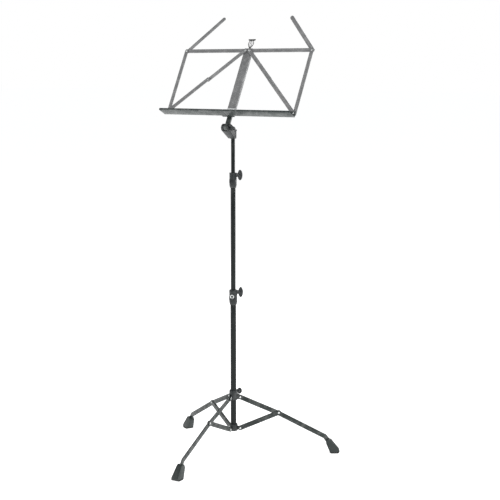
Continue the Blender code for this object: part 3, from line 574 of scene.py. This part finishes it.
def grown(name, points, pattern, size, material):
    """The plain mesh that the tree makes from (place, axis) points."""
    mesh = bpy.data.meshes.new(name + "_points")
    mesh.from_pydata([tuple(p) for p, _ in points], [], [])
    layer = mesh.attributes.new("axis", "FLOAT_VECTOR", "POINT")
    layer.data.foreach_set("vector", [c for _, a in points for c in a])
    holder = bpy.data.objects.new(name + "_points", mesh)
    bpy.context.collection.objects.link(holder)
    modifier = holder.modifiers.new("set", "NODES")
    modifier.node_group = scatter
    modifier[socket_id(scatter, "Pattern")] = pattern
    modifier[socket_id(scatter, "Size")] = size
    modifier[socket_id(scatter, "Finish")] = material
    evaluated = holder.evaluated_get(bpy.context.evaluated_depsgraph_get())
    plain = bpy.data.meshes.new_from_object(evaluated)
    plain.name = name
    bpy.data.objects.remove(holder)
    return plain


scatter = scatter_tree()
rivet_pattern = head_pattern()
for body, ends in heads_of.items():
    stands_for = tuple(name for name in rivet_nodes if body_of[name] == body)
    mesh = grown("rivets_" + body, ends, rivet_pattern, 1.0, zinc_plate)
    placed("rivets_" + body, mesh, body, zinc_plate, stands_for, math.radians(50))
bpy.data.objects.remove(rivet_pattern)
print("rivets set on", ", ".join(heads_of))

# %% [markdown]
# ## Clamps, screws and boots
#
# The mouldings are where hands touch the stand.  A clamp is a sleeve with a rolled rim at each end, fine
# ribs for grip near its foot and, on the lower one, a press-in ring.  Its wing screw is a thick oval
# wing that swells from a round boss.  The ribs repeat round the axis, so Geometry Nodes sets them.

# %% Small mesh helpers for mouldings
def joined(name, meshes):
    """One mesh from several, with the edge attribute kept."""
    work = bmesh.new()
    mark = work.verts.layers.float.new("edge")
    for mesh in meshes:
        start = len(work.verts)
        work.from_mesh(mesh)
        work.verts.ensure_lookup_table()
        if "edge" in mesh.attributes:
            values = [item.value for item in mesh.attributes["edge"].data]
            for offset, value in enumerate(values):
                work.verts[start + offset][mark] = value
    out = bpy.data.meshes.new(name)
    work.to_mesh(out)
    work.free()
    return out


def turned_to(mesh, place, axis):
    """Carry a mesh drawn round z to a place, its z along the axis."""
    turn = Vector(axis).to_track_quat("Z", "Y").to_matrix().to_4x4()
    mesh.transform(Matrix.Translation(Vector(place)) @ turn)
    return mesh


# %% Rolled rims and grip ribs on the two clamps
CLAMP_WALL = 0.0003 + 0.0032        # a clamp's gap to its tube and its wall
RIM_SUNK = 0.0005                   # of a rim's centre under the clamp's skin
RIM_R = 0.0009                      # of a rim's section
RIM_DROPS = (0.0011, 0.0042)        # of the upper two rims under the clamp's top
FOOT_RIM = 0.0105                   # of the lowest rim over the clamp's foot
RIB_LENGTH = 0.0125
RIB_R = 0.00055
RIB_HEIGHT = 0.0195                 # of the ribs' middle over the clamp's foot
RIB_COUNT = 28
RIB_STEP = math.radians(8.4)
SCREW_SIDE = math.radians(35.0)     # which way the clamps' screws point; the ribs face away from them


def torus_profile(radius, tube, height):
    """A closed ring section for the lathe."""
    return [(radius + tube * math.cos(2 * math.pi * k / 12), height + tube * math.sin(2 * math.pi * k / 12))
            for k in range(12)]


def rib_pattern(length, thick):
    """One grip rib standing along z, rounded at both ends."""
    half = length / 2
    profile = [(0, -half), (thick * 0.7, -half + thick * 0.4), (thick, -half + thick),
               (thick, half - thick), (thick * 0.7, half - thick * 0.4), (0, half)]
    mesh = lathe("rib", profile, 8)
    pattern = bpy.data.objects.new("rib_pattern", mesh)
    bpy.context.collection.objects.link(pattern)
    return pattern


for clamp, tube_name in (("lower_clamp", "lower_tube"), ("upper_clamp", "middle_tube")):
    low, high = low_high(clamp)
    skin = span(tube_name).x / 2 + CLAMP_WALL
    rim_heights = [high.z - drop for drop in RIM_DROPS] + [low.z + FOOT_RIM]
    rims = [lathe("rim", torus_profile(skin - RIM_SUNK, RIM_R, z), 64) for z in rim_heights]
    placed(clamp + "_rims", joined(clamp + "_rims", rims), body_of[clamp], moulded, (), math.radians(60))
    pattern = rib_pattern(RIB_LENGTH, RIB_R)
    points = []
    for k in range(RIB_COUNT):
        turn = SCREW_SIDE + math.pi + (k - RIB_COUNT / 2 + 0.5) * RIB_STEP
        points.append((Vector((skin * math.cos(turn), skin * math.sin(turn), low.z + RIB_HEIGHT)),
                       Vector((0, 0, 1))))
    ribs = grown(clamp + "_ribs", points, pattern, 1.0, moulded)
    placed(clamp + "_ribs", ribs, body_of[clamp], moulded, (), math.radians(60))
    bpy.data.objects.remove(pattern)
print("rims and", RIB_COUNT, "ribs on each clamp")

# %% The ring pressed into the lower clamp
RING_SIDE = math.radians(-72.0)     # which way the ring faces
RING_SUNK = 0.0006                  # into the clamp's skin
RING_HEIGHT = 0.0258                # over the clamp's foot
low, high = low_high("lower_clamp")
ring_way = Vector((math.cos(RING_SIDE), math.sin(RING_SIDE), 0))
ring_skin = span("lower_tube").x / 2 + CLAMP_WALL
ring_place = ring_way * (ring_skin - RING_SUNK) + Vector((0, 0, low.z + RING_HEIGHT))
ring = lathe("clamp_ring", [(0.0036, -0.001), (0.0064, -0.001), (0.0064, 0.0009), (0.0058, 0.0016),
                            (0.0044, 0.0016), (0.0036, 0.0010)], 48, marked=(2, 3, 4))
placed("clamp_ring", turned_to(ring, ring_place, ring_way), body_of["lower_clamp"], zinc_plate, (),
       math.radians(40))
plug = lathe("clamp_ring_plug", [(0, -0.001), (0.0037, -0.001), (0.0037, 0.0002), (0.0026, 0.0007),
                                 (0, 0.0008)], 32)
placed("clamp_ring_plug", turned_to(plug, ring_place, ring_way), body_of["lower_clamp"], moulded, (),
       math.radians(40))
print("ring and plug sit %.0f mm up the pole" % (ring_place.z * 1e3))


# %% [markdown]
# ### Wing screws
#
# The real wing is not a flat plate: it is thickest at the boss and thins towards both ends, with a raised
# rim and a shallow thumb dish on each face.  A grid over the oval gives that thickness point by point, so
# one short rule makes the whole moulding.

# %% An oval wing with dished faces
def wing_mesh(name, length, depth, thick, boss_r, reach):
    """Wing in the xz plane, x away from the boss; boss along x back to reach."""
    work = bmesh.new()
    mark = work.verts.layers.float.new("edge")
    rings, around = 14, 56
    layers = []
    for side in (1, -1):
        rows = []
        for r in range(rings + 1):
            share = r / rings
            row = []
            for k in range(around):
                turn = 2 * math.pi * k / around
                x = depth / 2 * share * math.cos(turn)
                z = length / 2 * share * math.sin(turn)
                dish = 0.26 * math.exp(-((abs(z) - length * 0.29) / (length * 0.13)) ** 2) * (1 - share ** 4)
                rim = 1.0 if share < 0.86 else math.sqrt(max(0.0, 1 - ((share - 0.86) / 0.14) ** 2))
                near = 0.30 * math.exp(-(z / (boss_r * 1.1)) ** 2)
                height = thick / 2 * (0.84 + near - dish) * rim
                vert = work.verts.new((x + depth / 2, side * height, z))
                vert[mark] = 1.0 if 0.84 < share < 1.0 else 0.0
                row.append(vert)
            rows.append(row)
        layers.append(rows)
        for r in range(rings):
            for k in range(around):
                quad = (rows[r][k], rows[r][(k + 1) % around], rows[r + 1][(k + 1) % around], rows[r + 1][k])
                if r:
                    work.faces.new(quad)
                else:
                    work.faces.new((quad[0], quad[2], quad[3]))
    bmesh.ops.remove_doubles(work, verts=work.verts, dist=1e-6)
    bmesh.ops.recalc_face_normals(work, faces=work.faces)
    wing = bpy.data.meshes.new(name + "_wing")
    work.to_mesh(wing)
    work.free()
    profile = [(0, -reach), (boss_r * 0.86, -reach), (boss_r, -reach + 0.0006), (boss_r * 0.97, 0.0012),
               (boss_r * 0.80, depth * 0.42), (boss_r * 0.5, depth * 0.62), (0, depth * 0.70)]
    boss = lathe(name + "_boss", profile, 40, marked=(2, 3))
    boss.transform(Matrix.Rotation(math.radians(90), 4, "Y"))
    return joined(name, [wing, boss])


BOSS_BACK = 0.0010          # of the boss behind the wing's root
KNOB_SHANK_R = 0.0029       # the tilt bolt's
SCREW_SHANK_R = 0.0024
THREAD_PITCH = 0.0007
THREAD_DEPTH = 0.00022
KNOB_TURN = math.radians(60)        # how far the tilt knob's wing leans from upright


def wing_screw(node, joint, length, depth, thick, boss_r):
    """Replace a screw node with its moulded wing and its plated shank."""
    axis = Vector(joints[joint]["axis"]).normalized()
    origin = Vector(joints[joint]["pos_m"])
    points = [v.co - origin for v in nodes[node].data.vertices]
    outer = max(p.dot(axis) for p in points)
    inner = min(p.dot(axis) for p in points)
    upright = Vector((0, 0, 1))
    is_knob = abs(axis.x) > 0.99
    if is_knob:
        upright = Matrix.Rotation(KNOB_TURN, 3, "X") @ upright
    side = upright.cross(axis).normalized()
    frame_of = Matrix((axis, side, upright)).transposed().to_4x4()
    frame_of.translation = origin + axis * (outer - depth)
    mesh = wing_mesh(node + "_shown", length, depth, thick, boss_r, BOSS_BACK)
    mesh.transform(frame_of)
    body = body_of[node]
    placed(node + "_shown", mesh, body, moulded, (node,), math.radians(50))
    radius = KNOB_SHANK_R if is_knob else SCREW_SHANK_R
    turns = int((outer - depth * 0.8 - inner) / THREAD_PITCH)
    ridges = []
    for k in range(turns):
        ridges += [(radius - THREAD_DEPTH, inner + k * THREAD_PITCH),
                   (radius, inner + (k + 0.5) * THREAD_PITCH)]
    thread = lathe(node + "_shank", [(0, inner)] + ridges + [(0, inner + turns * THREAD_PITCH)], 24)
    placed(node + "_shank", turned_to(thread, origin, axis), body, zinc_plate, (), math.radians(30))


WING_DEPTH = 0.0150
WING_THICK = 0.0055
SCREW_BOSS_R = 0.0060
KNOB_BOSS_R = 0.0050
KNOB_LENGTH = 0.032 * 0.8
for node in ("lower_clamp_screw", "upper_clamp_screw", "collar_screw"):
    wing_screw(node, node + "_turn", span(node).z, WING_DEPTH, WING_THICK, SCREW_BOSS_R)
wing_screw("tilt_knob", "tilt_knob_turn", KNOB_LENGTH, WING_DEPTH, WING_THICK, KNOB_BOSS_R)
print("three wing screws and the tilt knob")

# %% [markdown]
# ## Boots
#
# Each leg stands in a plastic boot.  The boot is the frame's solid with generous rounds; under it goes a
# softer sole, cut from the same solid so that it follows the outline, a hair proud at the sides like a
# real two-shot moulding.

# %% Boots and soles
def slice_of(node, high, proud):
    """The part of a node's solid under a height, closed again and pushed out sideways."""
    work = bmesh.new()
    work.from_mesh(nodes[node].data)
    bmesh.ops.remove_doubles(work, verts=work.verts, dist=1e-6)
    everything = list(work.verts) + list(work.edges) + list(work.faces)
    bmesh.ops.bisect_plane(work, geom=everything, plane_co=(0, 0, high), plane_no=(0, 0, 1), clear_outer=True)
    bmesh.ops.holes_fill(work, edges=[e for e in work.edges if e.is_boundary])
    heart = sum((v.co for v in work.verts), Vector()) / len(work.verts)
    for vert in work.verts:
        way = Vector((vert.co.x - heart.x, vert.co.y - heart.y, 0))
        vert.co += way.normalized() * proud
    bmesh.ops.recalc_face_normals(work, faces=work.faces)
    mesh = bpy.data.meshes.new(node + "_sole")
    work.to_mesh(mesh)
    work.free()
    return mesh


BOOT_ROUND = 0.0009
SOLE_HEIGHT = 0.0042
SOLE_PROUD = 0.00035        # of the sole past the boot's sides
for leg_name in leg_names:
    node = "foot_" + leg_name
    soften(node, BOOT_ROUND, boot_plastic, 3, 35.0)
    sole = slice_of(node, SOLE_HEIGHT, SOLE_PROUD)
    placed(node + "_sole", sole, body_of[node], sole_rubber, (), math.radians(40))
print("boots and soles done")

# %% [markdown]
# ## The head and the desk's small parts
#
# A raised ring frames the tilt bolt on each cheek of the head.  On the desk, the tray's lip is hemmed so
# that it doesn't cut the page, the column carries two pressed stiffening beads and a bright catch at its
# foot, and the page clip is bent from spring wire.

# %% Rings on the head's cheeks and a soft hexagon nut
CHEEK_RING_R = 0.0096
CHEEK_RING_SECTION = 0.0011
CHEEK_RING_SUNK = 0.00005
RING_FLATNESS = 0.8         # of the ring's section, its height over its width
NUT_ROUND = 0.00045
tilt_at = Vector(joints["desk_tilt"]["pos_m"])
cheek = span("desk_head").x / 2
for side, label in ((1, "knob"), (-1, "nut")):
    ring = lathe("cheek_ring", torus_profile(CHEEK_RING_R, CHEEK_RING_SECTION, 0.0), 56)
    for vert in ring.vertices:
        vert.co.z *= RING_FLATNESS
    at = Vector((side * (cheek - CHEEK_RING_SUNK), tilt_at.y, tilt_at.z))
    placed("cheek_ring_" + label, turned_to(ring, at, (side, 0, 0)), body_of["desk_head"], moulded, (),
           math.radians(50))
soften("tilt_nut", NUT_ROUND, zinc_plate)
print("cheek rings %.1f mm from the middle of the head, and the nut" % (cheek * 1e3))


# %% Rounded bars for hems and beads
def capped_bar(name, start, end, radius, sides=16):
    """A bar with domed ends from one point to another."""
    way = Vector(end) - Vector(start)
    length = way.length
    profile = [(0, 0)]
    profile += [(radius * math.sin(math.pi / 2 * k / 4), radius * (1 - math.cos(math.pi / 2 * k / 4)))
                for k in range(1, 5)]
    profile += [(radius * math.cos(math.pi / 2 * k / 4),
                 length - radius * (1 - math.sin(math.pi / 2 * k / 4))) for k in range(0, 4)]
    profile.append((0, length))
    return turned_to(lathe(name, profile, sides), start, way.normalized())


desk_zero = Vector((0, joints["tray_right_fold"]["pos_m"][1], joints["tray_right_fold"]["pos_m"][2]))
column_face = max((v.co - desk_zero).dot(desk_out) for v in nodes["desk_column"].data.vertices)


def on_desk(x, out, up):
    """A point x across, out from the tray pivots' plane and up the desk."""
    return desk_zero + Vector((x, 0, 0)) + desk_out * out + desk_up * up


HEM_R = 0.00115
HEM_INSET = 0.0005          # of a hem's ends from the lip's
HEM_BACK = 0.0008           # of the hem's centre behind the lip's face
HEM_DROP = 0.0004           # of the hem's centre under the lip's top
for side in ("left", "right"):
    node = "tray_" + side
    points = [v.co - desk_zero for v in nodes[node].data.vertices]
    out = max(p.dot(desk_out) for p in points)
    lip = [p for p in points if p.dot(desk_out) > out - 0.0004]
    top = max(p.dot(desk_up) for p in lip)
    xs = [p.x for p in lip]
    hem = capped_bar(node + "_hem", on_desk(min(xs) + HEM_INSET, out - HEM_BACK, top - HEM_DROP),
                     on_desk(max(xs) - HEM_INSET, out - HEM_BACK, top - HEM_DROP), HEM_R)
    placed(node + "_hem", hem, body_of[node], tray_coat, (), math.radians(50))
    print(node, "lip is %.1f mm out and %.1f mm up" % (out * 1e3, top * 1e3))

# %% Beads and the bright catch on the column
BEAD_X = 0.0052             # of each bead from the column's middle
BEAD_BACK = 0.0007          # of its centre behind the column's face
BEAD_R = 0.00095
BEAD_FROM, BEAD_TO = 0.024, 0.186   # up the desk
CATCH_FROM, CATCH_TO = 0.0095, 0.0170
CATCH_PROUD = 0.0005        # of the catch past the column's face
CATCH_BACK = 0.0012
CATCH_SIDE = 0.0001         # past the column's sides
CATCH_ROUND = 0.0003
bead_out = column_face - BEAD_BACK
beads = [capped_bar("bead", on_desk(x, bead_out, BEAD_FROM), on_desk(x, bead_out, BEAD_TO), BEAD_R)
         for x in (-BEAD_X, BEAD_X)]
# The beads wear the same grey with painted glare as the column.
placed("column_beads", joined("column_beads", beads), body_of["desk_column"], desk_painted_glare, (), math.radians(50))


def soft_block(name, low, high, width, to_place):
    """A block with rounded, marked edges; to_place carries (x, out, up) into the frame."""
    work = bmesh.new()
    corners = [(x, y, z) for x in (low[0], high[0]) for y in (low[1], high[1]) for z in (low[2], high[2])]
    verts = [work.verts.new(to_place(*corner)) for corner in corners]
    bmesh.ops.convex_hull(work, input=verts)
    bmesh.ops.dissolve_limit(work, angle_limit=math.radians(1), verts=work.verts, edges=work.edges)
    mark = work.verts.layers.float.new("edge")
    made = bmesh.ops.bevel(work, geom=list(work.edges), offset=width, offset_type="OFFSET", segments=3,
                           profile=0.5, affect="EDGES", clamp_overlap=True)
    for vert in made["verts"]:
        vert[mark] = 1.0
    bmesh.ops.recalc_face_normals(work, faces=work.faces)
    mesh = bpy.data.meshes.new(name)
    work.to_mesh(mesh)
    work.free()
    return mesh


catch_half = span("desk_column").x / 2 + CATCH_SIDE
catch = soft_block("column_catch", (-catch_half, column_face - CATCH_BACK, CATCH_FROM),
                   (catch_half, column_face + CATCH_PROUD, CATCH_TO), CATCH_ROUND, on_desk)
placed("column_catch", catch, body_of["desk_column"], bright_plate, (), math.radians(40))
print("two beads and the catch, %.0f mm wide, on the column" % (catch_half * 2e3))


# %% The page clip, bent from spring wire
def wire_mesh(name, path, radius, sides=10):
    """A round wire swept along a list of points, its ends closed."""
    work = bmesh.new()
    count = len(path)
    rings = []
    for index, point in enumerate(path):
        ahead = (path[min(index + 1, count - 1)] - path[max(index - 1, 0)]).normalized()
        across = ahead.cross(desk_out).normalized()
        away = across.cross(ahead).normalized()
        rings.append([work.verts.new(point + (across * math.cos(2 * math.pi * k / sides)
                                              + away * math.sin(2 * math.pi * k / sides)) * radius)
                      for k in range(sides)])
    for first, second in zip(rings, rings[1:]):
        for k in range(sides):
            after = (k + 1) % sides
            work.faces.new((first[k], first[after], second[after], second[k]))
    work.faces.new(rings[0][::-1])
    work.faces.new(rings[-1])
    bmesh.ops.recalc_face_normals(work, faces=work.faces)
    mesh = bpy.data.meshes.new(name)
    work.to_mesh(mesh)
    work.free()
    return mesh


CLIP_R = 0.0011             # of the outer wires
INNER_R = 0.00085
EYE_R = 0.0021              # of the loop round the clip's rivet
EYE_WIRE_R = 0.0009
EYE_RISE = 0.0002
BAR_DEPTH = 0.0045          # of the pressing bar, up the desk
BAR_HALF = 0.0015           # of its thickness
BAR_INSET = 0.0012
BAR_ROUND = 0.0006
OVERLAP = 0.001             # of the wires into the bar
BAR_FOOT, BAR_FLARE = 0.86, 0.20    # the bar's width at its foot, and what it gains by its top


def along(count):
    """Even shares from 0 to 1, both included."""
    return [k / (count - 1) for k in range(count)]


def circle_turns(count):
    """The angles of a closed loop, its first one repeated at the end."""
    return [2 * math.pi * t for t in along(count)]


clip_points = [v.co - desk_zero for v in nodes["page_clip"].data.vertices]
outs = [p.dot(desk_out) for p in clip_points]
clip_out = (min(outs) + max(outs)) / 2
clip_top = max(p.dot(desk_up) for p in clip_points)
clip_base = (Vector(joints["page_clip_flex"]["pos_m"]) - desk_zero).dot(desk_up)
clip_wide = max(p.x for p in clip_points)
bar_low = clip_top - BAR_DEPTH
rise = bar_low + OVERLAP - clip_base
strands = []
for side in (-1, 1):
    path = [on_desk(side * (0.0009 + 0.0080 * math.sin(math.pi * (0.04 + 0.80 * t))), clip_out,
                    clip_base + rise * t) for t in along(33)]
    strands.append(wire_mesh("strand", path, CLIP_R))
    inner = [on_desk(side * (0.0004 + 0.0026 * math.sin(math.pi * t)), clip_out, clip_base + rise * t)
             for t in along(25)]
    strands.append(wire_mesh("strand", inner, INNER_R))
eye = [on_desk(EYE_R * math.cos(turn), clip_out, clip_base + EYE_RISE + EYE_R * math.sin(turn))
       for turn in circle_turns(25)]
strands.append(wire_mesh("strand", eye, EYE_WIRE_R))
bar = soft_block("clip_bar", (-clip_wide + BAR_INSET, clip_out - BAR_HALF, bar_low),
                 (clip_wide - BAR_INSET, clip_out + BAR_HALF, clip_top), BAR_ROUND, on_desk)
for vert in bar.vertices:
    up = (vert.co - desk_zero).dot(desk_up)
    vert.co.x *= BAR_FOOT + BAR_FLARE * (up - bar_low) / BAR_DEPTH
placed("page_clip_shown", joined("page_clip_shown", strands + [bar]), body_of["page_clip"], spring_black,
       ("page_clip",), math.radians(45))
print("page clip: wire springs from %.1f mm up the desk" % (clip_base * 1e3))

# %% [markdown]
# ## The stage
#
# A wide floor that glows enough to stay white, a white sky for the camera with a dimmer one for the
# reflections, soft lights that the camera can't see, and a longish lens.

# %% Floor, lights and camera
FLOOR_HALF = 60.0           # half the floor's side, so that its far edge melts into the sky
FLOOR_GLOW = 0.78           # own light, which keeps the floor white under soft shadows


def make_floor():
    mesh = bpy.data.meshes.new("floor")
    mesh.from_pydata([(-FLOOR_HALF, -FLOOR_HALF, 0.0), (FLOOR_HALF, -FLOOR_HALF, 0.0),
                      (FLOOR_HALF, FLOOR_HALF, 0.0), (-FLOOR_HALF, FLOOR_HALF, 0.0)], [], [(0, 1, 2, 3)])
    floor = bpy.data.objects.new("floor", mesh)
    bpy.context.collection.objects.link(floor)
    mat = bpy.data.materials.new("studio_white")
    mat.use_nodes = True
    shader = mat.node_tree.nodes["Principled BSDF"]
    shader.inputs["Base Color"].default_value = (0.93, 0.93, 0.93, 1)
    shader.inputs["Roughness"].default_value = 0.9
    shader.inputs["Emission Color"].default_value = (1, 1, 1, 1)
    shader.inputs["Emission Strength"].default_value = FLOOR_GLOW
    mesh.materials.append(mat)


def area_light(name, place, target, size, power):
    data = bpy.data.lights.new(name, "AREA")
    data.shape = "RECTANGLE"
    data.size, data.size_y = size
    data.energy = power
    lamp = bpy.data.objects.new(name, data)
    bpy.context.collection.objects.link(lamp)
    lamp.location = place
    lamp.rotation_euler = (Vector(target) - Vector(place)).to_track_quat("-Z", "Y").to_euler()
    lamp.visible_camera = False
    return lamp


make_floor()
centre = (Vector(cad_box[0]) + Vector(cad_box[1])) / 2
area_light("key", (3.2, -2.4, 3.0), centre, (1.6, 2.0), 110)
area_light("fill", (-2.6, -3.0, 2.4), centre, (2.4, 2.4), 50)
area_light("back", (-1.2, 3.2, 2.6), centre, (2.0, 2.0), 50)
area_light("strip", (1.75, 2.45, 0.95), centre, (0.40, 2.4), 34)

world = bpy.data.worlds.new("studio")
world.use_nodes = True
sky = world.node_tree
seen_sky = sky.nodes["Background"]                     # what the camera sees
seen_sky.inputs["Color"].default_value = (1.0, 1.0, 1.0, 1.0)
lit_sky = sky.nodes.new("ShaderNodeBackground")        # what lights the stand
lit_sky.inputs["Color"].default_value = (0.96, 0.98, 1.0, 1.0)
lit_sky.inputs["Strength"].default_value = 0.24
ray = sky.nodes.new("ShaderNodeLightPath")
choose = sky.nodes.new("ShaderNodeMixShader")
sky.links.new(ray.outputs["Is Camera Ray"], choose.inputs[0])
sky.links.new(lit_sky.outputs[0], choose.inputs[1])
sky.links.new(seen_sky.outputs[0], choose.inputs[2])
sky.links.new(choose.outputs[0], sky.nodes["World Output"].inputs["Surface"])
bpy.context.scene.world = world
bpy.context.scene.view_settings.view_transform = "Standard"

# The camera stands in front and to the right, at about the desk's height, and looks slightly down.
camera_data = bpy.data.cameras.new("camera")
camera_data.lens = 90.855
camera_data.sensor_width = 36.0
camera = bpy.data.objects.new("camera", camera_data)
camera.location = (2.2054, -3.1193, 1.1838)
camera.rotation_euler = (math.radians(81.882), 0.0, math.radians(34.49))
bpy.context.collection.objects.link(camera)
bpy.context.scene.camera = camera
